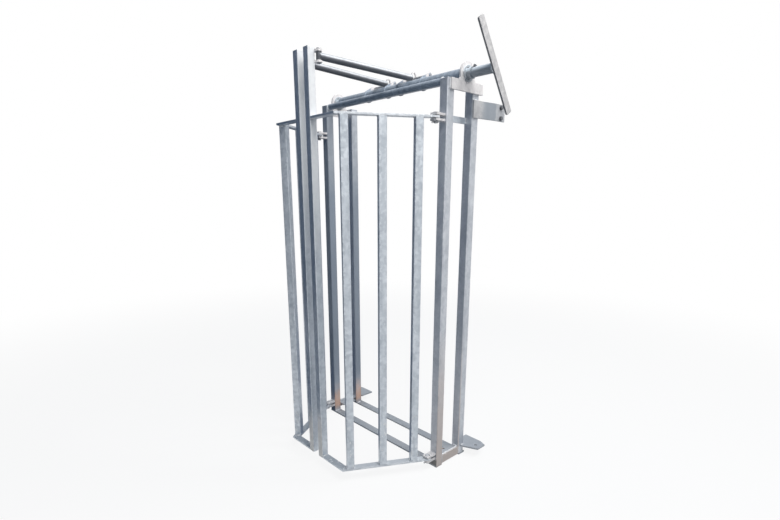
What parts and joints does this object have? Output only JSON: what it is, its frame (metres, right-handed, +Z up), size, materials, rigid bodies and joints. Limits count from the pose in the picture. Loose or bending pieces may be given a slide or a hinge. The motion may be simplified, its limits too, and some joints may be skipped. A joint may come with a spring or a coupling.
{
  "type": "cattle crush gate",
  "caption": "Walk-through cattle head gate: square-tube post frame with two hinged V wings of tube bars, tall neck tubes and an overhead lever shaft that swings both wings.",
  "frame": {"origin": "middle of the front floor bar's underside, on the ground between the front posts", "axes": "+X across the gate to the lever handle's side, +Y back through the gate away from the wings, +Z up"},
  "size_m": [1.28, 0.9285, 2.2862],
  "materials": {
    "galvanised_steel": "hot-dip galvanised, dull spangle",
    "plain_steel": "zinc-plated pins and rods"
  },
  "bodies": {
    "frame": {"base_plates": "galvanised_steel", "base_straps": "galvanised_steel", "front_floor_bar": "galvanised_steel", "hinge_lugs": "galvanised_steel", "hinge_pins": "plain_steel", "left_foot_plate": "galvanised_steel", "left_front_post": "galvanised_steel", "left_rear_post": "galvanised_steel", "left_top_plate": "galvanised_steel", "rear_floor_bar": "galvanised_steel", "right_foot_plate": "galvanised_steel", "right_front_post": "galvanised_steel", "right_mid_strap": "galvanised_steel", "right_rear_post": "galvanised_steel", "right_top_plate": "galvanised_steel", "side_bracket": "galvanised_steel", "top_beam": "galvanised_steel"},
    "right_wing": {"right_tall_tube": "galvanised_steel", "right_top_rail": "galvanised_steel", "right_top_return": "galvanised_steel", "right_bottom_rail": "galvanised_steel", "right_bottom_return": "galvanised_steel", "right_wing_bars": "galvanised_steel", "right_link_lugs": "galvanised_steel", "right_link_pin": "plain_steel"},
    "left_wing": {"left_tall_tube": "galvanised_steel", "left_top_rail": "galvanised_steel", "left_top_return": "galvanised_steel", "left_bottom_rail": "galvanised_steel", "left_bottom_return": "galvanised_steel", "left_wing_bars": "galvanised_steel", "left_link_lugs": "galvanised_steel", "left_link_pin": "plain_steel"},
    "right_link": {"right_link_front_eye": "galvanised_steel", "right_link_pipe": "galvanised_steel", "right_link_rear_eye": "galvanised_steel"},
    "left_link": {"left_link_front_eye": "galvanised_steel", "left_link_pipe": "galvanised_steel", "left_link_rear_eye": "galvanised_steel"},
    "lever": {"lever_shaft": "galvanised_steel", "handle_bar": "galvanised_steel", "right_hub": "galvanised_steel", "left_hub": "galvanised_steel", "crank_plates": "galvanised_steel", "crank_rods": "plain_steel"}
  },
  "joints": [
    {"name": "right_wing_swing", "type": "hinge", "parent": "frame", "child": "right_wing", "pos_m": [0.478, -0.071, 0.97], "axis": [0, 0, 1], "range_deg": [0, 15.78]},
    {"name": "left_wing_swing", "type": "hinge", "parent": "frame", "child": "left_wing", "pos_m": [-0.478, -0.071, 0.97], "axis": [0, 0, -1], "range_deg": [0, 15.79]},
    {"name": "right_link_swing", "type": "hinge", "parent": "right_wing", "child": "right_link", "pos_m": [0.072, -0.44799, 2.158], "axis": [0, 0, -1], "range_deg": [0, 4.72]},
    {"name": "left_link_swing", "type": "hinge", "parent": "left_wing", "child": "left_link", "pos_m": [-0.072, -0.44799, 2.158], "axis": [0, 0, 1], "range_deg": [0, 4.72]},
    {"name": "lever_turn", "type": "hinge", "parent": "frame", "child": "lever", "pos_m": [0, 0.112, 2.095], "axis": [1, 0, 0], "range_deg": [0, 90]}
  ],
  "couplings": [
    {"joint": "left_wing_swing", "follows": "right_wing_swing", "ratio": 1},
    {"joint": "right_link_swing", "follows": "right_wing_swing", "ratio": 0.29867},
    {"joint": "left_link_swing", "follows": "right_wing_swing", "ratio": 0.29867},
    {"joint": "lever_turn", "follows": "right_wing_swing", "ratio": 5.7023}
  ]
}
